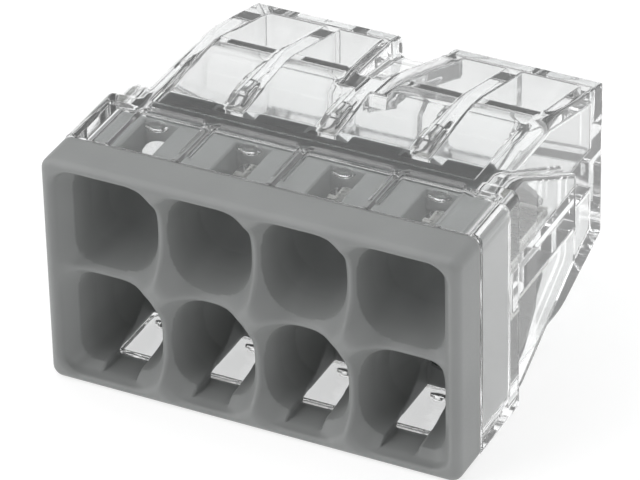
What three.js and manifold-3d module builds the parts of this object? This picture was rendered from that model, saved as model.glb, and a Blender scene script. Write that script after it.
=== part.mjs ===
// Push-in splicing connector for eight conductors in two rows of four.
//
// Millimetres, +Z up. The conductors go in along +Y, so the funnels face -Y.
// The origin is the bottom centre of the connector's bounding box.
// Every place along Y is first given as a depth behind the front face.

import * as THREE from 'three';
import { mergeVertices } from 'three/addons/utils/BufferGeometryUtils.js';
import Module from 'manifold-3d';

const wasm = await Module();
wasm.setup();

// ---------------------------------------------------------------- dimensions

const overallWidth = 18.1;
const overallHeight = 10.3;
const overallDepth = 16.8;
const cutMargin = 1;

// Conductor places
const columns = 4;
const columnPitch = 4.11;
const rowOffset = 2.5;
const midHeight = overallHeight / 2;

// Front insert
const flangeDepth = 2.04;
const flangeCornerRadius = 1;
const flangeEdgeRadius = 0.75;
const tailEnd = 5.1;
const tailWidth = 16.7;
const tailHeight = 8.98;
const tailCornerRadius = 0.5;
const rimWidth = 0.6;
const rimHeight = 0.32;
const rimCornerRadius = 0.9;

// Funnels: half sizes at the throat of the rounded lead-in, at the end and on the way
const leadInDepth = 1.15;
const leadInFlare = 0.62;
const funnelThroat = { half: 2.0, outward: 2.12, inward: 2.47, squareness: 3.2 };
const funnelMiddle = { depth: 2.7, half: 1.52, outward: 1.52, inward: 1.75, squareness: 2.6 };
const wireHoleRadius = 1.18;
const wireHoleStart = 4.3;

// Latch windows in the insert's top and bottom walls, and the grooves in front of them
const windowWidth = 1.5;
const windowStart = 2.3;
const windowEnd = 4.6;
const grooveRoof = 0.48;
const grooveReach = 2.6;

// Clear housing, outside
const housingStart = 2.1;
const collarEnd = 5.7;
const collarCornerRadius = 1;
const shoulderEnd = 7.3;
const shoulderWidth = 17.2;
const shoulderStep = 0.05;
const humpWidth = 15.7;
const rearWidth = 15.2;
const humpEdgeRadius = 0.7;
const rearEdgeRadius = 0.45;
const roofKnee = 11.1;
const roofRear = 8.75;
const floorKnee = 11.9;
const floorRear = 1.7;
const cheekEnd = 12;
const cheekBottom = 0.1;
const cheekTopFront = 9.8;
const cheekTopRear = 7.4;
const bandGrooveStart = 5.45;
const bandGrooveEnd = 7.15;
const bandGrooveWidth = 14.1;
const bandGrooveDepth = 0.3;
const notchWidth = 2.4;
const notchTopFront = 9.6;
const notchTopRear = 7.75;
const notchFloor = 0.6;

// Clear housing, inside
const collarWall = 0.6;
const collarSideWall = 0.65;
const socketEnd = 5.25;
const skin = 0.75;
const cavityWidth = 14.7;
const cavityRearWidth = 13.9;
const cavityTaperStart = 9;
const rearWall = 0.9;
const coreHeight = 1.83;
const coreStart = 6.1;
const partitionWidth = 0.65;
const partitionStart = 7.2;
const ribWidth = 0.4;
const ribStart = 3.1;
const ribDepth = 0.42;
const ribClearance = 0.06;
const nubWidth = 0.95;
const nubLength = 0.5;
const nubDepth = 0.4;
const nubRoot = 0.4;

// Busbar: a strip folded into a U whose open side faces the rear
const busbarThickness = 0.4;
const busbarWidth = 14.4;
const busbarStart = 5.42;
const busbarEnd = 10.5;
const busbarPlateHeight = 2.75;
const busbarBend = 0.55;
const busbarSlotEnd = 10.9;

// Spring strips and their clamping legs
const springThickness = 0.25;
const springBandWidth = 14.55;
const springBandStart = 5.5;
const springBandEnd = 6.95;
const springBandTop = 9.4;
const springLipDrop = 0.7;
const tongueWidth = 2.2;
const tongueTipWidth = 1.9;
const bendStart = 7.3;
const bendRadius = 1.2;
const legAngle = THREE.MathUtils.degToRad(43);
const legLength = 3.32;
const tipKick = 0.3;
const hingeGap = 0.03;

// ------------------------------------------------------------------- helpers

const atDepth = (depth) => depth - overallDepth / 2;
const columnX = (column) => (column - (columns - 1) / 2) * columnPitch;
const partitionXs = [-columnPitch, 0, columnPitch];
const rowSides = [1, -1];

const alongY = new THREE.Matrix4().makeBasis(
  new THREE.Vector3(1, 0, 0),
  new THREE.Vector3(0, 0, 1),
  new THREE.Vector3(0, -1, 0),
);
const alongX = new THREE.Matrix4().makeBasis(
  new THREE.Vector3(0, 1, 0),
  new THREE.Vector3(0, 0, 1),
  new THREE.Vector3(1, 0, 0),
);

function toSolid(geometry) {
  const plain = geometry.index ? geometry.toNonIndexed() : geometry.clone();
  plain.deleteAttribute('normal');
  plain.deleteAttribute('uv');
  const merged = mergeVertices(plain, 1e-5);
  return new wasm.Manifold(new wasm.Mesh({
    numProp: 3,
    vertProperties: new Float32Array(merged.attributes.position.array),
    triVerts: new Uint32Array(merged.index.array),
  }));
}

function toGeometry(solid) {
  const mesh = solid.getMesh();
  const geometry = new THREE.BufferGeometry();
  geometry.setAttribute('position', new THREE.BufferAttribute(mesh.vertProperties, 3));
  geometry.setIndex(new THREE.BufferAttribute(mesh.triVerts, 1));
  geometry.computeVertexNormals();
  return geometry;
}

function join(solids) {
  return solids.reduce((all, next) => all.add(next));
}

function cut(solid, cutters) {
  return cutters.reduce((rest, next) => rest.subtract(next), solid);
}

// A box between two depths, centred at (x, z)
function box(x, z, width, height, depthFrom, depthTo) {
  const geometry = new THREE.BoxGeometry(width, depthTo - depthFrom, height);
  geometry.translate(x, atDepth((depthFrom + depthTo) / 2), z);
  return toSolid(geometry);
}

// Outlines are lists of [across, up] points
function outline(points) {
  return new THREE.Shape(points.map(([x, y]) => new THREE.Vector2(x, y)));
}

function roundedRectangle(width, height, radius) {
  const x = width / 2;
  const y = height / 2;
  const shape = new THREE.Shape();
  shape.moveTo(-x + radius, -y);
  shape.lineTo(x - radius, -y);
  shape.absarc(x - radius, -y + radius, radius, -Math.PI / 2, 0, false);
  shape.lineTo(x, y - radius);
  shape.absarc(x - radius, y - radius, radius, 0, Math.PI / 2, false);
  shape.lineTo(-x + radius, y);
  shape.absarc(-x + radius, y - radius, radius, Math.PI / 2, Math.PI, false);
  shape.lineTo(-x, -y + radius);
  shape.absarc(-x + radius, -y + radius, radius, Math.PI, 1.5 * Math.PI, false);
  return shape;
}

// An outline seen from the front, pushed from one depth to another
function pushBack(shape, depthFrom, depthTo, z = 0, curveSegments = 5) {
  const depth = depthTo - depthFrom;
  const geometry = new THREE.ExtrudeGeometry(shape, { depth, bevelEnabled: false, curveSegments });
  geometry.applyMatrix4(alongY);
  geometry.translate(0, atDepth(depthTo), z);
  return toSolid(geometry);
}

// A side outline of [depth, height] points, pushed across the width around x
function pushAcross(shape, width, x = 0) {
  const geometry = new THREE.ExtrudeGeometry(shape, { depth: width, bevelEnabled: false, curveSegments: 8 });
  geometry.applyMatrix4(alongX);
  geometry.translate(x - width / 2, -overallDepth / 2, 0);
  return toSolid(geometry);
}

// A plan outline of [half width, depth] points, mirrored about X = 0 and pushed up
function pushUp(halfOutline, zFrom, zTo) {
  const right = halfOutline.map(([half, depth]) => [half, atDepth(depth)]);
  const left = [...right].reverse().map(([half, y]) => [-half, y]);
  const depth = zTo - zFrom;
  const geometry = new THREE.ExtrudeGeometry(outline([...right, ...left]), { depth, bevelEnabled: false });
  geometry.translate(0, 0, zFrom);
  return toSolid(geometry);
}

// A closed skin through equal rings of points, each given as a list of Vector3
function loft(rings) {
  const count = rings[0].length;
  const positions = rings.flat().flatMap((point) => point.toArray());
  const index = [];
  for (let ring = 0; ring < rings.length - 1; ring += 1) {
    for (let i = 0; i < count; i += 1) {
      const a = ring * count + i;
      const b = ring * count + (i + 1) % count;
      index.push(a, b, b + count, a, b + count, a + count);
    }
  }
  for (let i = 1; i < count - 1; i += 1) {
    const last = (rings.length - 1) * count;
    index.push(0, i + 1, i);
    index.push(last, last + i, last + i + 1);
  }
  const geometry = new THREE.BufferGeometry();
  geometry.setAttribute('position', new THREE.Float32BufferAttribute(positions, 3));
  geometry.setIndex(index);
  return geometry;
}

// The same solid in the other row: mirrored about the plane between the rows
function toRow(solid, side) {
  if (side > 0) {
    return solid;
  }
  return solid.mirror([0, 0, 1]).translate([0, 0, overallHeight]);
}

// -------------------------------------------------------------- front insert

// Half sizes of the funnel at a depth: a rounded lead-in, then a cone to the round wire hole
function funnelSizes(depth) {
  const hole = {
    half: wireHoleRadius,
    outward: wireHoleRadius,
    inward: wireHoleRadius,
    squareness: 2,
  };
  const blend = (from, to, t) => ({
    half: THREE.MathUtils.lerp(from.half, to.half, t),
    outward: THREE.MathUtils.lerp(from.outward, to.outward, t),
    inward: THREE.MathUtils.lerp(from.inward, to.inward, t),
    squareness: THREE.MathUtils.lerp(from.squareness, to.squareness, t),
  });
  if (depth <= leadInDepth) {
    const out = 1 - Math.max(depth, 0) / leadInDepth;
    const flare = leadInFlare * (1 - Math.sqrt(1 - out * out));
    return {
      half: funnelThroat.half + flare,
      outward: funnelThroat.outward + flare,
      inward: funnelThroat.inward + flare,
      squareness: funnelThroat.squareness,
    };
  }
  if (depth <= funnelMiddle.depth) {
    const t = (depth - leadInDepth) / (funnelMiddle.depth - leadInDepth);
    return blend(funnelThroat, funnelMiddle, t);
  }
  const t = (depth - funnelMiddle.depth) / (wireHoleStart - funnelMiddle.depth);
  return blend(funnelMiddle, hole, Math.min(t, 1));
}

function funnelCutter(x) {
  const depths = [-0.1, 0, 0.08, 0.2, 0.4, 0.7, leadInDepth, funnelMiddle.depth, wireHoleStart, tailEnd + 0.1];
  const ringPoints = 32;
  const rings = depths.map((depth) => {
    const { half, outward, inward, squareness } = funnelSizes(depth);
    return Array.from({ length: ringPoints }, (_, i) => {
      const angle = (2 * Math.PI * i) / ringPoints;
      const rounding = (value) => Math.sign(value) * Math.abs(value) ** (2 / squareness);
      const across = half * rounding(Math.cos(angle));
      const up = (Math.sin(angle) > 0 ? outward : inward) * rounding(Math.sin(angle));
      return new THREE.Vector3(x + across, atDepth(depth), midHeight + rowOffset + up);
    });
  });
  return toSolid(loft(rings.reverse()));
}

// The rim around all the mouths stays whole: the funnels are cut only inside it
function mouthLimit() {
  const width = overallWidth - 2 * rimWidth;
  const height = overallHeight - 2 * rimHeight;
  const limit = roundedRectangle(width, height, rimCornerRadius);
  return pushBack(limit, -cutMargin, tailEnd + cutMargin, midHeight);
}

function latchCutter(x) {
  const wallTop = midHeight + tailHeight / 2 + cutMargin;
  const grooveTop = overallHeight - grooveRoof;
  const bottom = midHeight + rowOffset;
  const groove = box(x, (grooveTop + bottom) / 2, windowWidth, grooveTop - bottom, -cutMargin, grooveReach);
  const opening = box(x, (wallTop + bottom) / 2, windowWidth, wallTop - bottom, windowStart, windowEnd);
  return groove.add(opening);
}

function ribSlot(x) {
  const width = ribWidth + 2 * ribClearance;
  const height = 2 * (ribDepth + ribClearance);
  const z = midHeight + tailHeight / 2;
  return box(x, z, width, height, ribStart - ribClearance, tailEnd + cutMargin);
}

function flange() {
  const steps = 5;
  const rings = [];
  for (let step = 0; step <= steps; step += 1) {
    const angle = (Math.PI / 2) * (step / steps);
    const inset = flangeEdgeRadius * (1 - Math.sin(angle));
    const depth = flangeEdgeRadius * (1 - Math.cos(angle));
    rings.push({ inset, depth });
  }
  rings.push({ inset: 0, depth: flangeDepth });
  const points = rings.map(({ inset, depth }) => {
    const radius = Math.max(flangeCornerRadius - inset, 0.2);
    const shape = roundedRectangle(overallWidth - 2 * inset, overallHeight - 2 * inset, radius);
    return shape.getPoints(5).map((p) => new THREE.Vector3(p.x, atDepth(depth), midHeight + p.y));
  });
  return toSolid(loft(points.reverse()));
}

function frontInsert() {
  const tailShape = roundedRectangle(tailWidth, tailHeight, tailCornerRadius);
  const tail = pushBack(tailShape, flangeDepth - 0.2, tailEnd, midHeight);
  const funnels = [];
  const latches = [];
  for (const side of rowSides) {
    for (let column = 0; column < columns; column += 1) {
      funnels.push(toRow(funnelCutter(columnX(column)), side));
      latches.push(toRow(latchCutter(columnX(column)), side));
    }
  }
  const slots = rowSides.flatMap((side) => partitionXs.map((x) => toRow(ribSlot(x), side)));
  const openings = join(funnels).intersect(mouthLimit());
  return cut(flange().add(tail), [openings, ...latches, ...slots]);
}

// ------------------------------------------------------------- clear housing

function collarOutside() {
  const shape = roundedRectangle(overallWidth, overallHeight, collarCornerRadius);
  return pushBack(shape, housingStart, collarEnd, midHeight);
}

// The shoulder narrows behind the collar and ends in a step
function shoulderOutside() {
  const plan = [[overallWidth / 2 - 0.1, collarEnd - 0.5], [shoulderWidth / 2, shoulderEnd]];
  const shape = roundedRectangle(overallWidth - 0.2, overallHeight - 2 * shoulderStep, collarCornerRadius);
  const block = pushBack(shape, collarEnd - 0.5, shoulderEnd, midHeight);
  return block.intersect(pushUp(plan, -cutMargin, overallHeight + cutMargin));
}

// Low cheeks on both sides fade into the body
function cheeksOutside() {
  const front = shoulderEnd - 0.5;
  const plan = [
    [shoulderWidth / 2 + 0.1, front],
    [shoulderWidth / 2 - 0.04, shoulderEnd],
    [8.5, 8.8],
    [8.1, 10.5],
    [humpWidth / 2 - 0.05, cheekEnd],
  ];
  const side = outline([
    [front, cheekBottom],
    [cheekEnd - 1, cheekBottom],
    [cheekEnd, cheekBottom + 0.4],
    [cheekEnd, cheekTopRear],
    [shoulderEnd + 0.6, cheekTopFront],
    [front, cheekTopFront],
  ]);
  const across = roundedRectangle(shoulderWidth + 0.2, overallHeight - 2 * cheekBottom, humpEdgeRadius);
  const block = pushBack(across, front, cheekEnd, midHeight);
  const tapered = block.intersect(pushUp(plan, -cutMargin, overallHeight + cutMargin));
  return tapered.intersect(pushAcross(side, overallWidth));
}

function bodyOutside() {
  const front = collarEnd - 0.5;
  const plan = [
    [humpWidth / 2, front],
    [humpWidth / 2, 9.5],
    [rearWidth / 2, overallDepth - rearEdgeRadius],
    [rearWidth / 2 - rearEdgeRadius, overallDepth],
  ];
  const side = outline([
    [front, 0],
    [floorKnee, 0],
    [floorKnee + 1.2, 0.4],
    [overallDepth - rearEdgeRadius / 2, floorRear],
    [overallDepth, floorRear + rearEdgeRadius],
    [overallDepth, roofRear - rearEdgeRadius],
    [overallDepth - rearEdgeRadius, roofRear + 0.1],
    [roofKnee + 0.5, overallHeight - 0.07],
    [roofKnee - 0.5, overallHeight],
    [front, overallHeight],
  ]);
  const across = roundedRectangle(humpWidth, overallHeight, humpEdgeRadius);
  const block = pushBack(across, front, overallDepth, midHeight);
  const shaped = block.intersect(pushAcross(side, overallWidth));
  return shaped.intersect(pushUp(plan, -cutMargin, overallHeight + cutMargin));
}

// The rear notch parts the roof into two humps over two conductors each
function notchCutter() {
  const side = outline([
    [roofKnee, notchTopFront],
    [overallDepth + cutMargin, notchTopRear - 0.25],
    [overallDepth + cutMargin, overallHeight + cutMargin],
    [roofKnee, overallHeight + cutMargin],
  ]);
  return pushAcross(side, notchWidth);
}

function bandGroove(side) {
  const depth = bandGrooveDepth + cutMargin;
  const z = overallHeight - bandGrooveDepth + depth / 2;
  return toRow(box(0, z, bandGrooveWidth, depth, bandGrooveStart, bandGrooveEnd), side);
}

function socket() {
  const width = overallWidth - 2 * collarSideWall;
  const height = overallHeight - 2 * collarWall;
  const shape = roundedRectangle(width, height, tailCornerRadius + 0.05);
  return pushBack(shape, housingStart - cutMargin, socketEnd, midHeight);
}

// The hollow inside the body, following the roof and the floor one skin below them
function cavity() {
  const inner = overallDepth - rearWall;
  const plan = [
    [cavityWidth / 2, socketEnd - 0.1],
    [cavityWidth / 2, cavityTaperStart],
    [cavityRearWidth / 2, inner],
  ];
  const side = outline([
    [socketEnd - 0.1, skin],
    [floorKnee, skin],
    [inner, floorRear + 0.5],
    [inner, roofRear - 0.5],
    [roofKnee, overallHeight - skin],
    [socketEnd - 0.1, overallHeight - skin],
  ]);
  return pushUp(plan, -cutMargin, overallHeight + cutMargin).intersect(pushAcross(side, overallWidth));
}

function notchLining() {
  const side = outline([
    [roofKnee - notchFloor, notchTopFront - notchFloor],
    [overallDepth, notchTopRear - notchFloor],
    [overallDepth, overallHeight],
    [roofKnee - notchFloor, overallHeight],
  ]);
  return pushAcross(side, notchWidth + 1.1);
}

function partition(x) {
  const height = midHeight - coreHeight / 2;
  const z = overallHeight - height / 2;
  const wall = box(x, z, partitionWidth, height, partitionStart, overallDepth);
  const slotTop = midHeight + busbarPlateHeight / 2 + 0.12;
  const slotBottom = midHeight + coreHeight / 2 - cutMargin;
  const slotHeight = slotTop - slotBottom;
  const slot = box(x, slotBottom + slotHeight / 2, 2, slotHeight, partitionStart - 1, busbarSlotEnd);
  return wall.subtract(slot);
}

function collarRib(x) {
  const z = overallHeight - collarWall - ribDepth / 2 + 0.1;
  return box(x, z, ribWidth, ribDepth + 0.2, ribStart, socketEnd + 0.2);
}

// A latch nub: a low dome on the collar's inner face that snaps into the insert's window
function latchNub(x) {
  const steps = 6;
  const profile = [];
  for (let step = 0; step <= steps; step += 1) {
    const angle = (Math.PI / 2) * (step / steps);
    profile.push(new THREE.Vector2(Math.cos(angle), Math.sin(angle)));
  }
  profile[steps].x = 0;
  profile.unshift(new THREE.Vector2(0, -nubRoot), new THREE.Vector2(1, -nubRoot));
  const geometry = new THREE.LatheGeometry(profile, 20);
  geometry.rotateX(-Math.PI / 2);
  geometry.scale(nubWidth / 2, nubLength / 2, nubDepth);
  geometry.translate(x, atDepth(windowEnd - nubLength / 2 - 0.08), overallHeight - collarWall);
  return toSolid(geometry);
}

function clearHousing() {
  const outside = join([collarOutside(), shoulderOutside(), cheeksOutside(), bodyOutside()]);
  const grooves = rowSides.map(bandGroove);
  const shell = cut(outside, [notchCutter(), ...grooves]);
  const core = box(0, midHeight, overallWidth, coreHeight, coreStart, overallDepth);
  const keep = [core, notchLining()];
  for (const side of rowSides) {
    keep.push(...partitionXs.map((x) => toRow(partition(x), side)));
  }
  const hollow = cut(cavity(), keep);
  const inside = [];
  for (const side of rowSides) {
    inside.push(...partitionXs.map((x) => toRow(collarRib(x), side)));
    for (let column = 0; column < columns; column += 1) {
      inside.push(toRow(latchNub(columnX(column)), side));
    }
  }
  return join([cut(shell, [socket(), hollow]), ...inside]);
}

// ------------------------------------------------------------------- busbar

function busbar() {
  const top = midHeight + busbarPlateHeight / 2;
  const bottom = midHeight - busbarPlateHeight / 2;
  const inner = busbarBend - busbarThickness;
  const shape = new THREE.Shape();
  shape.moveTo(busbarEnd, bottom);
  shape.lineTo(busbarEnd, bottom + busbarThickness);
  shape.lineTo(busbarStart + busbarBend, bottom + busbarThickness);
  shape.absarc(busbarStart + busbarBend, bottom + busbarBend, inner, -Math.PI / 2, -Math.PI, true);
  shape.lineTo(busbarStart + busbarThickness, top - busbarBend);
  shape.absarc(busbarStart + busbarBend, top - busbarBend, inner, Math.PI, Math.PI / 2, true);
  shape.lineTo(busbarEnd, top - busbarThickness);
  shape.lineTo(busbarEnd, top);
  shape.lineTo(busbarStart + busbarBend, top);
  shape.absarc(busbarStart + busbarBend, top - busbarBend, busbarBend, Math.PI / 2, Math.PI, false);
  shape.lineTo(busbarStart, bottom + busbarBend);
  shape.absarc(busbarStart + busbarBend, bottom + busbarBend, busbarBend, Math.PI, 1.5 * Math.PI, false);
  return pushAcross(shape, busbarWidth);
}

// ------------------------------------------------------------------- springs

// The end of a tongue's bend, in [depth, height], on the sheet's middle
const bendCentre = [bendStart, springBandTop - bendRadius];
const hingeRadius = bendRadius - springThickness / 2;
const hinge = [
  bendCentre[0] + hingeRadius * Math.sin(legAngle),
  bendCentre[1] + hingeRadius * Math.cos(legAngle),
];

// The band with its turned-down front lip
function springBand() {
  const top = springBandTop;
  const shape = new THREE.Shape();
  const lip = springThickness * 1.6;
  shape.moveTo(springBandEnd, top - springThickness);
  shape.lineTo(springBandEnd, top);
  shape.lineTo(springBandStart + lip, top);
  shape.absarc(springBandStart + lip, top - lip, lip, Math.PI / 2, Math.PI, false);
  shape.lineTo(springBandStart, top - springLipDrop);
  shape.lineTo(springBandStart + springThickness, top - springLipDrop);
  shape.lineTo(springBandStart + springThickness, top - lip);
  shape.absarc(springBandStart + lip, top - lip, lip - springThickness, Math.PI, Math.PI / 2, true);
  return pushAcross(shape, springBandWidth);
}

// The fixed root of a tongue: flat from the band, then bent down to the hinge line
function tongueRoot(x) {
  const [centreDepth, centreHeight] = bendCentre;
  const inner = bendRadius - springThickness;
  const stop = Math.PI / 2 - legAngle + (hingeGap + springThickness / 2) / hingeRadius;
  const shape = new THREE.Shape();
  shape.moveTo(springBandEnd - 0.2, springBandTop - springThickness);
  shape.lineTo(centreDepth, centreHeight + inner);
  shape.absarc(centreDepth, centreHeight, inner, Math.PI / 2, stop, true);
  shape.lineTo(
    centreDepth + bendRadius * Math.cos(stop),
    centreHeight + bendRadius * Math.sin(stop),
  );
  shape.absarc(centreDepth, centreHeight, bendRadius, stop, Math.PI / 2, false);
  shape.lineTo(springBandEnd - 0.2, springBandTop);
  return pushAcross(shape, tongueWidth, x);
}

function springStrip(side) {
  const roots = Array.from({ length: columns }, (_, column) => tongueRoot(columnX(column)));
  return toRow(join([springBand(), ...roots]), side);
}

// A clamping leg: a flat blade from the hinge line to the busbar, with a small kick at the tip
function clampLeg(x, side) {
  const half = springThickness / 2;
  const shape = new THREE.Shape();
  shape.moveTo(0, -half);
  shape.lineTo(legLength - tipKick, -half);
  shape.lineTo(legLength, -half - 0.1);
  shape.lineTo(legLength + 0.05, half - 0.12);
  shape.lineTo(legLength - tipKick, half);
  shape.lineTo(0, half);
  shape.absarc(0, 0, half, Math.PI / 2, 1.5 * Math.PI, false);
  const geometry = new THREE.ExtrudeGeometry(shape, { depth: tongueWidth, bevelEnabled: false, curveSegments: 4 });
  geometry.applyMatrix4(alongX);
  geometry.translate(-tongueWidth / 2, 0, 0);
  const position = geometry.attributes.position;
  for (let i = 0; i < position.count; i += 1) {
    const along = THREE.MathUtils.clamp(position.getY(i) / legLength, 0, 1);
    const width = THREE.MathUtils.lerp(tongueWidth, tongueTipWidth, along);
    position.setX(i, position.getX(i) * (width / tongueWidth));
  }
  geometry.rotateX(-legAngle);
  geometry.translate(x, atDepth(hinge[0]), hinge[1]);
  return toRow(toSolid(geometry), side);
}

// ------------------------------------------------------------------ assembly

const materials = {
  grey: { color: 0x8f9493, roughness: 0.55, metalness: 0 },
  clear: { color: 0xe9eeee, roughness: 0.08, metalness: 0, transparent: true, opacity: 0.3 },
  tin: { color: 0xb9bab6, roughness: 0.35, metalness: 1 },
  steel: { color: 0x7d8180, roughness: 0.3, metalness: 1 },
};

const connector = new THREE.Group();
connector.name = 'wire_connector';

function addPiece(parent, name, solid, look) {
  const mesh = new THREE.Mesh(toGeometry(solid), new THREE.MeshStandardMaterial(materials[look]));
  mesh.name = name;
  parent.add(mesh);
}

addPiece(connector, 'front_insert', frontInsert(), 'grey');
addPiece(connector, 'clear_housing', clearHousing(), 'clear');
addPiece(connector, 'busbar', busbar(), 'tin');

for (const side of rowSides) {
  const row = side > 0 ? 'upper' : 'lower';
  const springs = new THREE.Group();
  connector.add(springs);
  addPiece(springs, `${row}_spring_strip`, springStrip(side), 'steel');
  for (let column = 0; column < columns; column += 1) {
    const leg = clampLeg(columnX(column), side);
    addPiece(springs, `${row}_clamp_leg_${column + 1}`, leg, 'steel');
  }
}

export default connector;
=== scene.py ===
"""Looks for the push-in splicing connector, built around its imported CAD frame.

Lengths in this file are in millimetres and are turned into metres where meshes are made.
A depth is a distance behind the front face, along +Y.
"""
import itertools
import math

import bmesh
import bpy
import numpy as np
from mathutils import Matrix, Vector


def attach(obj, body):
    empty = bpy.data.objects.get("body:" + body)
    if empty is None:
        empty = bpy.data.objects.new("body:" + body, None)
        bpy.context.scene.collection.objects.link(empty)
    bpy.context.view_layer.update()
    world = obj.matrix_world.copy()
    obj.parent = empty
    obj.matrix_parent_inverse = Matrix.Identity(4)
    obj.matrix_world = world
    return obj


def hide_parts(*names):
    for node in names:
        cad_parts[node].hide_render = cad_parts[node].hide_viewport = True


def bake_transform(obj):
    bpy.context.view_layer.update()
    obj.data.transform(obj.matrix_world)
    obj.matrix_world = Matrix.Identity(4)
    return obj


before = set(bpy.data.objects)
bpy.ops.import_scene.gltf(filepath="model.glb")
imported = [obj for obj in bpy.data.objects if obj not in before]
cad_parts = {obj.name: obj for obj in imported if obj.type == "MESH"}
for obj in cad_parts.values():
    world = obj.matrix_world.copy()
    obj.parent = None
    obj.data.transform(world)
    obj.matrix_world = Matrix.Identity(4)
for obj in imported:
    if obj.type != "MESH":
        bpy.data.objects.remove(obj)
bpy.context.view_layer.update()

# ---------------------------------------------------------------- dimensions

MM = 0.001
WIDTH = 18.1
HEIGHT = 10.3
DEPTH = 16.8
MID = HEIGHT / 2
PITCH = 4.11
COLUMNS = [-1.5 * PITCH, -0.5 * PITCH, 0.5 * PITCH, 1.5 * PITCH]
ROW = 2.5
FINE_EDGE = 0.05


def to_metres(points):
    """Points given as x, depth and z in millimetres, in the frame's metres."""
    moved = np.array(points, float)
    moved[:, 1] -= DEPTH / 2
    return moved * MM


# ------------------------------------------------------------ distance fields

def rounded_rectangle(a, b, half_a, half_b, radius):
    """Signed distance to a rounded rectangle about the origin, below zero inside."""
    qa = np.abs(a) - half_a + radius
    qb = np.abs(b) - half_b + radius
    outside = np.sqrt(np.maximum(qa, 0) ** 2 + np.maximum(qb, 0) ** 2)
    return outside + np.minimum(np.maximum(qa, qb), 0) - radius


def both(a, b, radius):
    """The space in both fields, with its new outer edge rounded."""
    u = np.maximum(radius + a, 0)
    v = np.maximum(radius + b, 0)
    return np.minimum(np.maximum(a, b), -radius) + np.sqrt(u * u + v * v)


def either(a, b, radius):
    """The space in either field, with its new inner edge filleted."""
    return -both(-a, -b, radius)


def without(a, b, radius):
    """The first field's space less the second's, with the new edge rounded."""
    return both(a, -b, radius)


# --------------------------------------------------------------- front insert

FLANGE_DEPTH = 2.04
FLANGE_RADIUS = 0.5
FLANGE_FRONT_EDGE = 0.4
FLANGE_REAR_EDGE = 0.08
TAIL_X = 8.35
TAIL_Z = 4.49
TAIL_RADIUS = 0.5
TAIL_START = 1.2
TAIL_END = 5.1
TAIL_EDGE = 0.08
MOUTH_X = 8.55
MOUTH_Z = 4.74
MOUTH_RADIUS = 0.9
MOUTH_EDGE = 0.1
CREST_ROUNDING = 0.25
GROOVE_HALF = 0.75
GROOVE_TOP = 4.67
GROOVE_END = 2.6
GROOVE_EDGE = 0.07
WINDOW_MIDDLE = 3.6
WINDOW_HALF = 1.3
SLOT_HALF = 0.17
SLOT_BOTTOM = 4.01
SLOT_START = 3.04

# The funnel's half sizes on each side at a few depths: a chamfer, a throat and a cone
STATIONS = [0.0, 0.15, 0.95, 2.2, 3.2, 4.3]
WEB_SIDE = [2.5, 2.4, 1.83, 1.76, 1.6, 1.05]
END_SIDE = [2.45, 2.36, 1.87, 1.8, 1.6, 1.05]
FAR_SIDE = [2.5, 2.42, 1.92, 1.8, 1.6, 1.05]
NEAR_SIDE = [2.95, 2.85, 2.25, 1.98, 1.7, 1.05]
# How square each corner is: beside an end wall, and beside a web away from or near the other row
END_SQUARE = [8.0, 8.0, 6.5, 4.5, 3.0, 2.0]
FAR_SQUARE = [2.4, 2.5, 3.0, 2.8, 2.5, 2.0]
NEAR_SQUARE = [2.2, 2.25, 2.5, 2.4, 2.3, 2.0]


def at_depth(depth, values):
    """A funnel table's value at each depth."""
    return np.interp(np.ravel(depth), STATIONS, values).reshape(np.shape(depth))


def funnel(across, up, depth, outer):
    """One funnel: a bell mouth and a cone that ends in the round wire hole.

    across is measured from the funnel's axis towards the end of the row, and up from its
    axis away from the other row. outer is true for the last funnel of a row.
    """
    right = at_depth(depth, END_SIDE if outer else WEB_SIDE)
    left = at_depth(depth, WEB_SIDE)
    top = at_depth(depth, FAR_SIDE)
    bottom = at_depth(depth, NEAR_SIDE)
    square_web = np.where(up > 0, at_depth(depth, FAR_SQUARE), at_depth(depth, NEAR_SQUARE))
    square_right = at_depth(depth, END_SQUARE) if outer else square_web
    a = np.where(across > 0, across / right, -across / left)
    b = np.where(up > 0, up / top, -up / bottom)
    power = np.where(across > 0, square_right, square_web)
    reach = (a ** power + b ** power + 1e-9) ** (1 / power)
    return (reach - 1) * (left + top) / 2


def insert_field(x, depth, z):
    """The grey insert: a flange and a tail, with funnels, windows and slots for the ribs."""
    ax = np.abs(x)
    row = np.abs(z - MID)
    flange = rounded_rectangle(x, z - MID, WIDTH / 2, MID, FLANGE_RADIUS)
    flange = both(flange, -depth, FLANGE_FRONT_EDGE)
    flange = both(flange, depth - FLANGE_DEPTH, FLANGE_REAR_EDGE)
    tail = rounded_rectangle(x, z - MID, TAIL_X, TAIL_Z, TAIL_RADIUS)
    tail = both(tail, depth - TAIL_END, TAIL_EDGE)
    tail = np.maximum(tail, TAIL_START - depth)
    solid = either(flange, tail, 0.1)
    limit = rounded_rectangle(x, z - MID, MOUTH_X, MOUTH_Z, MOUTH_RADIUS)
    for centre in (0.5 * PITCH, 1.5 * PITCH, -0.5 * PITCH):
        outer = centre > PITCH
        for up in (row - ROW, -row - ROW):
            opening = both(funnel(ax - centre, up, depth, outer), limit, MOUTH_EDGE)
            solid = without(solid, opening, CREST_ROUNDING)
    for centre in (0.5 * PITCH, 1.5 * PITCH):
        across = np.maximum(np.abs(ax - centre) - GROOVE_HALF, ROW - row)
        groove = np.maximum(across, np.maximum(row - GROOVE_TOP, depth - GROOVE_END))
        solid = without(solid, groove, GROOVE_EDGE)
        window = np.maximum(across, np.abs(depth - WINDOW_MIDDLE) - WINDOW_HALF)
        solid = without(solid, window, GROOVE_EDGE)
    for centre in (0.0, PITCH):
        slot = np.maximum(SLOT_BOTTOM - row, SLOT_START - depth)
        slot = np.maximum(np.abs(ax - centre) - SLOT_HALF, slot)
        solid = without(solid, slot, FINE_EDGE)
    return solid


# -------------------------------------------------------------- clear housing

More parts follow.
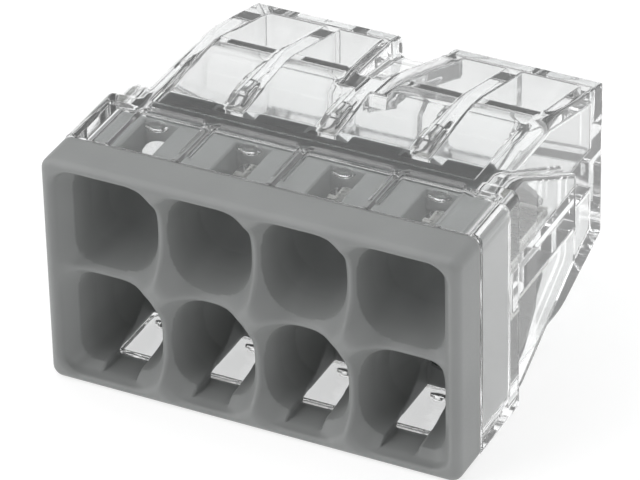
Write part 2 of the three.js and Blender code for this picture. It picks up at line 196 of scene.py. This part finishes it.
ROOF_KNEE = 11.1
ROOF_REAR = 8.87
FLOOR_KNEE = 11.9
FLOOR_REAR = 1.7
COLLAR_START = 2.1
COLLAR_END = 5.7
COLLAR_RADIUS = 0.4
BODY_X = 7.85
BODY_RADIUS = 0.55
BODY_START = 5.2
HOLLOW_X = 7.35
HOLLOW_Z = 4.4
HOLLOW_END = 15.95
CORE_HALF = 0.915
CORE_START = 6.1
METAL_SLOT_HALF = 1.495
METAL_SLOT_END = 10.9
PARTITION_START = 7.1
LINING_START = 10.5
LINING_WALL = 0.55
INNER_RIB_HALF = 0.11
NUB_DEPTH = 4.5
NUB_ROW = 4.55


def slope(depth, z, start, end, side):
    """Signed distance above (side 1) or below (side -1) the line from start to end."""
    run = end[0] - start[0]
    rise = end[1] - start[1]
    length = math.hypot(run, rise)
    return side * ((z - start[1]) * run - (depth - start[0]) * rise) / length


RECESS_X = 7.05
RECESS_ROW = 5.05
TROUGH_ROW = 4.85
RIB_HALF = 0.15
RECESS_DEPTH = 3.1
RECESS_HALF = 2.1
TROUGH_START = 5.75
CHEEK_X = 8.6
CHEEK_END = 12.3


def side_block(x, depth, zc):
    """The cheek on each side behind the collar: it narrows in height towards its rear edge."""
    block = both(rounded_rectangle(x, zc, CHEEK_X, MID - 0.05, 0.4), depth - CHEEK_END, 0.25)
    block = both(block, slope(depth, np.abs(zc), (9.4, 3.6), (CHEEK_END, 2.05), 1), 0.2)
    return np.maximum(block, BODY_START - depth)


def top_recess(x, depth, row):
    """Shallow pockets between the collar's ribs, with a narrow one at each end of the row."""
    ax = np.abs(x)
    inner_half = 0.5 * PITCH - RIB_HALF
    inner = rounded_rectangle(ax - 0.5 * PITCH, depth - RECESS_DEPTH, inner_half, RECESS_HALF, 0.3)
    middle = (RECESS_X + PITCH + RIB_HALF) / 2
    outer_half = RECESS_X - middle
    outer = rounded_rectangle(ax - middle, depth - RECESS_DEPTH, outer_half, RECESS_HALF, 0.3)
    last = rounded_rectangle(ax - 7.93, depth - 3.0, 0.62, 2.0, 0.12)
    return both(np.minimum(np.minimum(inner, outer), last), RECESS_ROW - row, FINE_EDGE)


def band_trough(x, depth, zc):
    """The trough over the band: it ends in a long flat ramp above and in a step below."""
    ax = np.abs(x)
    floor = np.maximum(TROUGH_ROW - zc, slope(depth, zc, (7.05, TROUGH_ROW), (9.75, MID), -1))
    inside = np.maximum(ax - RECESS_X, TROUGH_START - depth)
    above = np.maximum(floor, inside)
    front = slope(depth, zc, (PARTITION_START, TROUGH_ROW), (7.8, MID), 1)
    for centre in (0.0, PITCH):
        fin = np.maximum(np.abs(ax - centre) - partition_half(depth), front)
        above = without(above, fin, 0.04)
    below = np.maximum(np.maximum(TROUGH_ROW + zc, depth - 7.15), inside)
    return np.minimum(above, below)


def partition_half(depth):
    """Half the width of a partition, which is thicker at its front end."""
    return 0.32 + 0.05 * np.clip((9.6 - depth) / 2.4, 0, 1)


def notch_half(depth):
    """Half the width of the gap between the humps, which widens towards the rear."""
    return 0.5 + 0.7 * np.clip((depth - ROOF_KNEE) / 4.6, 0, 1)


def housing_outside(x, depth, z):
    """The housing as a solid block: collar, cheeks and body, less the notch and the trough."""
    zc = z - MID
    collar = both(rounded_rectangle(x, zc, WIDTH / 2, MID, COLLAR_RADIUS), COLLAR_START - depth, 0.06)
    collar = both(collar, depth - COLLAR_END, 0.1)
    body = rounded_rectangle(x, zc, BODY_X, MID, BODY_RADIUS)
    body = both(body, slope(depth, z, (ROOF_KNEE, HEIGHT), (DEPTH, ROOF_REAR), 1), 0.12)
    body = both(body, slope(depth, z, (FLOOR_KNEE, 0.0), (DEPTH, FLOOR_REAR), -1), 0.25)
    body = both(body, depth - DEPTH, 0.45)
    body = np.maximum(body, BODY_START - depth)
    shell = either(collar, side_block(x, depth, zc), 0.06)
    shell = either(shell, body, 0.1)
    notch = np.maximum(np.abs(x) - notch_half(depth), ROOF_KNEE - depth)
    notch = both(notch, slope(depth, z, (ROOF_KNEE, 9.75), (DEPTH, 7.75), -1), 0.15)
    shell = without(shell, notch, 0.15)
    shell = np.maximum(shell, np.abs(zc) - MID)
    shell = without(shell, top_recess(x, depth, np.abs(zc)), FINE_EDGE)
    return without(shell, band_trough(x, depth, zc), FINE_EDGE)


def housing_field(x, depth, z):
    """The clear housing: the block, less its socket and hollow, with partitions, ribs and nubs."""
    zc = z - MID
    row = np.abs(zc)
    ax = np.abs(x)
    shell = housing_outside(x, depth, z)
    socket = both(rounded_rectangle(x, zc, 8.4, 4.55, 0.55), depth - 5.25, 0.15)
    shell = without(shell, socket, 0.06)
    half = HOLLOW_X - 0.25 * np.clip((depth - 9.0) / 6.9, 0, 1)
    hollow = both(rounded_rectangle(x, zc, half, HOLLOW_Z, 0.25), depth - HOLLOW_END, 0.3)
    hollow = both(hollow, slope(depth, z, (ROOF_KNEE, 9.55), (HOLLOW_END, 8.3), 1), 0.1)
    hollow = both(hollow, slope(depth, z, (FLOOR_KNEE, 0.75), (15.9, 2.2), -1), 0.2)
    hollow = np.maximum(hollow, 5.1 - depth)
    core = np.maximum(row - CORE_HALF, CORE_START - depth)
    hollow = without(hollow, core, 0.12)
    slot = np.maximum(row - METAL_SLOT_HALF, depth - METAL_SLOT_END)
    for centre in (0.0, PITCH):
        wall = np.maximum(np.abs(ax - centre) - partition_half(depth), PARTITION_START - depth)
        wall = without(wall, slot, FINE_EDGE)
        hollow = without(hollow, wall, FINE_EDGE)
    under = slope(depth, z, (LINING_START, 9.1), (DEPTH, 7.15), -1)
    lining = np.maximum(ax - notch_half(depth) - LINING_WALL, under)
    lining = np.maximum(lining, LINING_START - depth)
    hollow = without(hollow, lining, 0.15)
    shell = without(shell, hollow, 0.06)
    for centre in (0.0, PITCH):
        rib = np.maximum(np.abs(ax - centre) - INNER_RIB_HALF, np.maximum(4.13 - row, row - 4.7))
        rib = np.maximum(rib, np.abs(depth - 4.3) - 1.2)
        shell = either(shell, rib, FINE_EDGE)
    for centre in (0.5 * PITCH, 1.5 * PITCH):
        a = (ax - centre) / 0.475
        b = (depth - NUB_DEPTH) / 0.3
        c = (row - NUB_ROW) / 0.22
        nub = (np.sqrt(a * a + b * b + c * c) - 1) * 0.25
        shell = either(shell, np.maximum(nub, row - 4.8), 0.03)
    return shell


# ------------------------------------------------------------- field to mesh

def gradient(field, points, reach=0.004):
    """The field's slope at each point, by central differences."""
    slopes = np.empty_like(points)
    for axis in range(3):
        ahead = points.copy()
        behind = points.copy()
        ahead[:, axis] += reach
        behind[:, axis] -= reach
        slopes[:, axis] = field(*ahead.T) - field(*behind.T)
    return slopes / (2 * reach)


def settle(field, points, step, rounds):
    """Points moved towards the zero surface, by at most half a step in each round."""
    for _ in range(rounds):
        slopes = gradient(field, points)
        steep = np.maximum((slopes ** 2).sum(1), 0.05)
        move = -(field(*points.T) / steep)[:, None] * slopes
        length = np.maximum(np.linalg.norm(move, axis=1), 1e-9)
        points = points + move * np.minimum(1, 0.5 * step / length)[:, None]
    return points


def crossings(field, grid, inside, axis, low, step):
    """The grid edges along one axis that cross the surface, with the point and the normal there."""
    ahead = np.roll(inside, -1, axis)
    crossed = inside != ahead
    last = [slice(None)] * 3
    last[axis] = slice(-1, None)
    crossed[tuple(last)] = False
    edges = np.argwhere(crossed)
    start = grid[tuple(edges.T)]
    end = np.roll(grid, -1, axis)[tuple(edges.T)]
    points = edges.astype(float)
    points[:, axis] += start / (start - end)
    points = settle(field, points * step + low, step, 1)
    normals = gradient(field, points)
    normals /= np.maximum(np.linalg.norm(normals, axis=1), 1e-9)[:, None]
    return edges, points, normals


def corner_points(rings, places, normals, count, step):
    """The point of each cell that lies closest to all the surface's planes around it."""
    cells = np.concatenate([ring.ravel() for ring in rings])
    points = np.concatenate([np.repeat(p, 4, 0) for p in places])
    normals = np.concatenate([np.repeat(n, 4, 0) for n in normals])

    def total(weights):
        return np.bincount(cells, weights, count)

    number = total(np.ones(len(cells)))
    middle = np.stack([total(points[:, i]) / number for i in range(3)], 1)
    away = (normals * (points - middle[cells])).sum(1)
    planes = np.empty((count, 3, 3))
    aim = np.empty((count, 3))
    for i in range(3):
        aim[:, i] = total(normals[:, i] * away)
        for j in range(3):
            planes[:, i, j] = total(normals[:, i] * normals[:, j])
    planes += 0.06 * np.eye(3)
    move = np.linalg.solve(planes, aim[:, :, None])[:, :, 0]
    length = np.maximum(np.linalg.norm(move, axis=1), 1e-9)
    return middle + move * np.minimum(1, 0.9 * step / length)[:, None]


def surface_net(field, low, high, step):
    """Points and quads of a field's zero surface, one point in each grid cell it crosses."""
    axes = [np.arange(a, b + step, step) for a, b in zip(low, high)]
    grid = field(axes[0][:, None, None], axes[1][None, :, None], axes[2][None, None, :])
    grid = np.ascontiguousarray(np.broadcast_to(grid, [len(a) for a in axes]), dtype=np.float32)
    inside = grid < 0
    size = [len(a) - 1 for a in axes]
    some = np.zeros(size, bool)
    every = np.ones(size, bool)
    for i, j, k in itertools.product((0, 1), repeat=3):
        part = inside[i:i + size[0], j:j + size[1], k:k + size[2]]
        some |= part
        every &= part
    cells = np.argwhere(some & ~every)
    number = np.full(size, -1, np.int64)
    number[tuple(cells.T)] = np.arange(len(cells))
    rings, places, normals, quads = [], [], [], []
    for axis in range(3):
        edges, points, directions = crossings(field, grid, inside, axis, np.array(low), step)
        first, second = (axis + 1) % 3, (axis + 2) % 3
        ring = []
        for da, db in ((-1, -1), (0, -1), (0, 0), (-1, 0)):
            cell = edges.copy()
            cell[:, first] += da
            cell[:, second] += db
            ring.append(number[tuple(cell.T)])
        ring = np.stack(ring, 1)
        rings.append(ring)
        places.append(points)
        normals.append(directions)
        leaving = inside[tuple(edges.T)]
        quads.append(np.where(leaving[:, None], ring, ring[:, ::-1]))
    return corner_points(rings, places, normals, len(cells), step), np.concatenate(quads)


def link(name, mesh):
    """A new object with this mesh, in the scene."""
    thing = bpy.data.objects.new(name, mesh)
    bpy.context.scene.collection.objects.link(thing)
    return thing


def mesh_from_field(name, field, low, high, step):
    """A smooth-shaded object from a field, with the field's own slopes as its normals."""
    points, quads = surface_net(field, low, high, step)
    points = settle(field, points, step, 2)
    mesh = bpy.data.meshes.new(name)
    mesh.from_pydata(to_metres(points).tolist(), [], quads.tolist())
    mesh.update()
    normals = gradient(field, points)
    normals /= np.maximum(np.linalg.norm(normals, axis=1), 1e-9)[:, None]
    mesh.shade_smooth()
    mesh.normals_split_custom_set_from_vertices(normals.tolist())
    return link(name, mesh)


# -------------------------------------------------------------------- metals

def profile_prism(name, outline, half_width, bevel):
    """An outline of [depth, height] pushed across the width, with its edges bevelled."""
    work = bmesh.new()
    rings = []
    for x in (-half_width, half_width):
        points = to_metres([[x, depth, z] for depth, z in outline])
        rings.append([work.verts.new(p) for p in points])
    count = len(outline)
    for i in range(count):
        j = (i + 1) % count
        work.faces.new([rings[0][i], rings[0][j], rings[1][j], rings[1][i]])
    work.faces.new(rings[0][::-1])
    work.faces.new(rings[1])
    bmesh.ops.recalc_face_normals(work, faces=work.faces)
    sharp = [e for e in work.edges if e.calc_face_angle(0) > math.radians(35)]
    bmesh.ops.bevel(work, geom=sharp, offset=bevel * MM, segments=3, profile=0.6, affect="EDGES")
    mesh = bpy.data.meshes.new(name)
    work.to_mesh(mesh)
    work.free()
    mesh.shade_smooth()
    mesh.set_sharp_from_angle(angle=math.radians(35))
    return link(name, mesh)


def arc(centre, radius, start, end, steps):
    angles = [math.radians(start + (end - start) * i / steps) for i in range(steps + 1)]
    return [[centre[0] + radius * math.cos(a), centre[1] + radius * math.sin(a)] for a in angles]


def row_height(z, side):
    """The height of the same place in the upper row (side 1) or the lower row (side -1)."""
    return z if side > 0 else HEIGHT - z


def busbar():
    top, bottom = MID + 1.375, MID - 1.375
    outline = [[10.5, bottom]]
    outline += [[10.5, bottom + 0.4]]
    outline += arc([5.97, bottom + 0.55], 0.15, 270, 180, 4)
    outline += arc([5.97, top - 0.55], 0.15, 180, 90, 4)
    outline += [[10.5, top - 0.4], [10.5, top]]
    outline += arc([5.97, top - 0.55], 0.55, 90, 180, 8)
    outline += arc([5.97, bottom + 0.55], 0.55, 180, 270, 8)
    return profile_prism("busbar_detailed", outline, 7.2, 0.05)


BAND_TOP = 9.4
SHEET = 0.25
BEND_START = 7.3
BEND_RADIUS = 1.2
LEG_ANGLE = 43
LEG_LENGTH = 3.32


def spring_band(name, side):
    lip = 0.4
    outline = [[7.0, BAND_TOP - SHEET], [7.0, BAND_TOP]]
    outline += arc([5.5 + lip, BAND_TOP - lip], lip, 90, 180, 6)
    outline += [[5.5, BAND_TOP - 0.7], [5.5 + SHEET, BAND_TOP - 0.7]]
    outline += arc([5.5 + lip, BAND_TOP - lip], lip - SHEET, 180, 90, 6)
    outline = [[depth, row_height(z, side)] for depth, z in outline]
    return profile_prism(name, outline, 7.275, 0.045)


def tongue_path():
    """Stations along a tongue's middle: depth, height, turn in degrees and half width."""
    middle = BAND_TOP - SHEET / 2
    stations = [[6.93, middle, 0.0, 1.1], [7.1, middle, 0.0, 1.1]]
    radius = BEND_RADIUS - SHEET / 2
    for i in range(15):
        turn = LEG_ANGLE * i / 14
        angle = math.radians(turn)
        depth = BEND_START + radius * math.sin(angle)
        height = BAND_TOP - BEND_RADIUS + radius * math.cos(angle)
        stations.append([depth, height, turn, 1.1])
    start = stations[-1]
    angle = math.radians(LEG_ANGLE)
    for i in range(1, 17):
        along = LEG_LENGTH * i / 16
        kick = 0.1 * max(0.0, (along - LEG_LENGTH + 0.3) / 0.3)
        depth = start[0] + along * math.cos(angle) - kick * math.sin(angle)
        height = start[1] - along * math.sin(angle) - kick * math.cos(angle)
        turn = LEG_ANGLE + (12 if kick > 0 else 0)
        stations.append([depth, height, turn, 1.1 - 0.15 * along / LEG_LENGTH])
    return stations


def tongue(name, x, side):
    """A spring tongue: a rounded strip that runs flat, bends down and ends in a kicked tip."""
    rings = []
    half, soft = SHEET / 2, 0.05
    stations = tongue_path()
    for index, (depth, height, turn, width) in enumerate(stations):
        angle = math.radians(turn)
        normal = (math.sin(angle), math.cos(angle))
        pull = 0.12 if index == len(stations) - 1 else 0.0
        section = []
        for cx, cy, first in ((width - soft, half - soft, 0), (-width + soft, half - soft, 90),
                              (-width + soft, -half + soft, 180), (width - soft, -half + soft, 270)):
            for step in range(4):
                a = math.radians(first + 30 * step)
                section.append((cx + soft * math.cos(a), cy + soft * math.sin(a)))
        ring = [[x + a * (1 - pull), depth + b * normal[0], row_height(height + b * normal[1], side)]
                for a, b in section]
        rings.append(ring)
    count = len(rings[0])
    points = to_metres([p for ring in rings for p in ring]).tolist()
    faces = []
    for r in range(len(rings) - 1):
        for i in range(count):
            j = (i + 1) % count
            faces.append([r * count + i, r * count + j, (r + 1) * count + j, (r + 1) * count + i])
    faces.append(list(range(count))[::-1])
    faces.append([(len(rings) - 1) * count + i for i in range(count)])
    mesh = bpy.data.meshes.new(name)
    mesh.from_pydata(points, [], faces)
    work = bmesh.new()
    work.from_mesh(mesh)
    bmesh.ops.recalc_face_normals(work, faces=work.faces)
    work.to_mesh(mesh)
    work.free()
    mesh.shade_smooth()
    mesh.set_sharp_from_angle(angle=math.radians(50))
    return link(name, mesh)


# ----------------------------------------------------------------- materials

def new_material(name):
    material = bpy.data.materials.new(name)
    material.use_nodes = True
    nodes = material.node_tree.nodes
    nodes.clear()
    output = nodes.new("ShaderNodeOutputMaterial")
    shader = nodes.new("ShaderNodeBsdfPrincipled")
    material.node_tree.links.new(shader.outputs[0], output.inputs[0])
    return material, material.node_tree, shader, output


def place_nodes(tree, scale, stretch=(1, 1, 1)):
    """Object coordinates in millimetres, stretched, for a pattern."""
    coordinates = tree.nodes.new("ShaderNodeTexCoord")
    mapping = tree.nodes.new("ShaderNodeMapping")
    mapping.inputs["Scale"].default_value = [scale * s / MM for s in stretch]
    tree.links.new(coordinates.outputs["Object"], mapping.inputs["Vector"])
    return mapping.outputs["Vector"]


def noise(tree, vector, detail=3, rough=0.5):
    node = tree.nodes.new("ShaderNodeTexNoise")
    node.inputs["Scale"].default_value = 1
    node.inputs["Detail"].default_value = detail
    node.inputs["Roughness"].default_value = rough
    tree.links.new(vector, node.inputs["Vector"])
    return node.outputs["Fac"]


def ramp(tree, value, low, high, start=0.3, end=0.7):
    node = tree.nodes.new("ShaderNodeValToRGB")
    node.color_ramp.elements[0].position = start
    node.color_ramp.elements[1].position = end
    node.color_ramp.elements[0].color = low
    node.color_ramp.elements[1].color = high
    tree.links.new(value, node.inputs["Fac"])
    return node.outputs["Color"]


def spread(tree, value, low, high):
    node = tree.nodes.new("ShaderNodeMapRange")
    node.inputs["From Min"].default_value = 0.3
    node.inputs["From Max"].default_value = 0.7
    node.inputs["To Min"].default_value = low
    node.inputs["To Max"].default_value = high
    tree.links.new(value, node.inputs["Value"])
    return node.outputs["Result"]


def bump(tree, shader, height, distance, strength):
    node = tree.nodes.new("ShaderNodeBump")
    node.inputs["Distance"].default_value = distance * MM
    node.inputs["Strength"].default_value = strength
    tree.links.new(height, node.inputs["Height"])
    tree.links.new(node.outputs["Normal"], shader.inputs["Normal"])


def grey_plastic():
    material, tree, shader, _ = new_material("grey_moulded_plastic")
    broad = noise(tree, place_nodes(tree, 0.35), 2)
    fine = noise(tree, place_nodes(tree, 14), 4, 0.6)
    colour = ramp(tree, broad, (0.245, 0.252, 0.25, 1), (0.268, 0.275, 0.273, 1))
    tree.links.new(colour, shader.inputs["Base Color"])
    tree.links.new(spread(tree, fine, 0.42, 0.54), shader.inputs["Roughness"])
    shader.inputs["IOR"].default_value = 1.5
    shader.inputs["Specular IOR Level"].default_value = 0.45
    bump(tree, shader, fine, 0.006, 0.35)
    return material


def clear_plastic():
    material, tree, shader, output = new_material("clear_polycarbonate")
    wavy = noise(tree, place_nodes(tree, 0.5), 2)
    fine = noise(tree, place_nodes(tree, 5), 3)
    shader.inputs["Base Color"].default_value = (0.985, 0.99, 0.99, 1)
    shader.inputs["IOR"].default_value = 1.58
    shader.inputs["Transmission Weight"].default_value = 0.965
    tree.links.new(spread(tree, fine, 0.01, 0.045), shader.inputs["Roughness"])
    bump(tree, shader, wavy, 0.003, 0.15)
    path = tree.nodes.new("ShaderNodeLightPath")
    through = tree.nodes.new("ShaderNodeBsdfTransparent")
    through.inputs["Color"].default_value = (0.86, 0.87, 0.87, 1)
    mix = tree.nodes.new("ShaderNodeMixShader")
    tree.links.new(path.outputs["Is Shadow Ray"], mix.inputs[0])
    tree.links.new(shader.outputs[0], mix.inputs[1])
    tree.links.new(through.outputs[0], mix.inputs[2])
    tree.links.new(mix.outputs[0], output.inputs[0])
    return material


def rolled_metal(name, low, high, rough, stretch):
    material, tree, shader, _ = new_material(name)
    lines = noise(tree, place_nodes(tree, 6, stretch), 4, 0.6)
    broad = noise(tree, place_nodes(tree, 0.6), 3)
    tree.links.new(ramp(tree, broad, low, high), shader.inputs["Base Color"])
    tree.links.new(spread(tree, lines, rough[0], rough[1]), shader.inputs["Roughness"])
    shader.inputs["Metallic"].default_value = 1
    bump(tree, shader, lines, 0.004, 0.3)
    return material


# ------------------------------------------------------------ camera, lights

CAMERA_AZIMUTH = 27.0
CAMERA_ELEVATION = 32.95
CAMERA_ROLL = -1.31
CAMERA_DISTANCE = 178.7
CAMERA_LENS = 264.1
CAMERA_TARGET = (3.244, 0.0, 9.838)


def add_camera():
    azimuth, elevation, roll = (math.radians(a) for a in (CAMERA_AZIMUTH, CAMERA_ELEVATION, CAMERA_ROLL))
    back = Vector((math.sin(azimuth) * math.cos(elevation),
                   -math.cos(azimuth) * math.cos(elevation), math.sin(elevation)))
    right = Vector((math.cos(azimuth), math.sin(azimuth), 0))
    up = back.cross(right)
    turned_right = right * math.cos(roll) + up * math.sin(roll)
    turned_up = up * math.cos(roll) - right * math.sin(roll)
    target = Vector(to_metres([CAMERA_TARGET])[0])
    data = bpy.data.cameras.new("camera")
    data.lens = CAMERA_LENS
    data.sensor_width = 36
    data.clip_start = 0.01
    data.clip_end = 10
    camera = bpy.data.objects.new("camera", data)
    rotation = Matrix((turned_right, turned_up, back)).transposed().to_4x4()
    camera.matrix_world = Matrix.Translation(target + back * CAMERA_DISTANCE * MM) @ rotation
    bpy.context.scene.collection.objects.link(camera)
    bpy.context.scene.camera = camera


LIGHT_AIM = (0, 0, 0.005)


def add_area(name, place, size, power):
    """A soft white square lamp, aimed at the object."""
    data = bpy.data.lights.new(name, "AREA")
    data.shape = "RECTANGLE"
    data.size = size
    data.size_y = size
    data.energy = power
    light = bpy.data.objects.new(name, data)
    light.location = place
    direction = Vector(LIGHT_AIM) - Vector(place)
    light.rotation_euler = direction.to_track_quat("-Z", "Y").to_euler()
    bpy.context.scene.collection.objects.link(light)


def patch(tree, vector, direction, shade, start, end):
    """White, going to a shade of grey towards a direction."""
    towards = tree.nodes.new("ShaderNodeVectorMath")
    towards.operation = "DOT_PRODUCT"
    towards.inputs[1].default_value = direction
    tree.links.new(vector, towards.inputs[0])
    return ramp(tree, towards.outputs["Value"], (1, 1, 1, 1), (shade, shade, shade, 1), start, end)


def add_world():
    """White all round, but dark where a photographer would stand and grey high up opposite."""
    world = bpy.data.worlds.new("studio")
    world.use_nodes = True
    tree = world.node_tree
    tree.nodes.clear()
    output = tree.nodes.new("ShaderNodeOutputWorld")
    background = tree.nodes.new("ShaderNodeBackground")
    coordinates = tree.nodes.new("ShaderNodeTexCoord")
    front = patch(tree, coordinates.outputs["Generated"], (0.38, -0.8, 0.46), 0.1, 0.1, 0.75)
    back = patch(tree, coordinates.outputs["Generated"], (-0.36, 0.71, 0.6), 0.3, 0.72, 0.93)
    mix = tree.nodes.new("ShaderNodeMix")
    mix.data_type = "RGBA"
    mix.blend_type = "MULTIPLY"
    mix.inputs["Factor"].default_value = 1
    tree.links.new(front, mix.inputs["A"])
    tree.links.new(back, mix.inputs["B"])
    tree.links.new(mix.outputs["Result"], background.inputs["Color"])
    background.inputs["Strength"].default_value = 0.75
    tree.links.new(background.outputs[0], output.inputs[0])
    bpy.context.scene.world = world


def add_floor():
    bpy.ops.mesh.primitive_plane_add(size=2, location=(0, 0, 0))
    floor = bpy.context.object
    floor.name = "floor"
    material, tree, shader, _ = new_material("pale_floor")
    broad = noise(tree, place_nodes(tree, 0.01), 2)
    colour = ramp(tree, broad, (0.36, 0.36, 0.36, 1), (0.39, 0.39, 0.39, 1))
    tree.links.new(colour, shader.inputs["Base Color"])
    shader.inputs["Roughness"].default_value = 0.7
    shader.inputs["Specular IOR Level"].default_value = 0.1
    shader.inputs["Emission Color"].default_value = (1, 1, 1, 1)
    shader.inputs["Emission Strength"].default_value = 0.7
    floor.data.materials.append(material)


# --------------------------------------------------------------------- build

bpy.context.scene.view_settings.view_transform = "Standard"
add_camera()
add_world()
add_area("key", (-0.36, -0.24, 0.36), 0.45, 1.7)
add_area("overhead", (-0.05, 0.12, 0.5), 0.5, 1.1)
add_area("side", (0.5, -0.2, 0.3), 0.5, 1.2)
add_floor()

# The corners of the boxes that the two fields are sampled in, and the grids' steps
INSERT_BOX = ((-9.25, -0.2, -0.2), (9.25, 5.3, 10.5))
HOUSING_BOX = ((-9.25, 1.9, -0.2), (9.25, 17.0, 10.5))
INSERT_STEP = 0.125
HOUSING_STEP = 0.1
grey = grey_plastic()
clear = clear_plastic()
TIN_COLOURS = ((0.58, 0.58, 0.56, 1), (0.69, 0.69, 0.67, 1))
# The spring steel's colour is far darker than bare steel: painted shade standing in for the dark
# surroundings that the band and tongues reflect.
STEEL_PAINTED_SHADE_COLOURS = ((0.055, 0.06, 0.06, 1), (0.085, 0.092, 0.092, 1))
tin = rolled_metal("tinned_copper", *TIN_COLOURS, (0.22, 0.36), (0.1, 1, 1))
steel = rolled_metal("spring_steel", *STEEL_PAINTED_SHADE_COLOURS, (0.26, 0.36), (0.06, 1, 1))

insert = mesh_from_field("front_insert_detailed", insert_field, *INSERT_BOX, INSERT_STEP)
insert.data.materials.append(grey)
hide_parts("front_insert")
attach(insert, "connector")

housing = mesh_from_field("clear_housing_detailed", housing_field, *HOUSING_BOX, HOUSING_STEP)
housing.data.materials.append(clear)
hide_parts("clear_housing")
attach(housing, "connector")

bar = busbar()
bar.data.materials.append(tin)
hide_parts("busbar")
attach(bar, "connector")

for row_name, side in (("upper", 1), ("lower", -1)):
    band = spring_band(f"{row_name}_spring_band", side)
    band.data.materials.append(steel)
    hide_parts(f"{row_name}_spring_strip")
    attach(band, "connector")
    for column, x in enumerate(COLUMNS, 1):
        blade = tongue(f"{row_name}_tongue_{column}", x, side)
        blade.data.materials.append(steel)
        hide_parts(f"{row_name}_clamp_leg_{column}")
        start, end = to_metres([[x, 7.55, row_height(9.2, side)], [x, 8.5, row_height(8.6, side)]])
        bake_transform(blade)
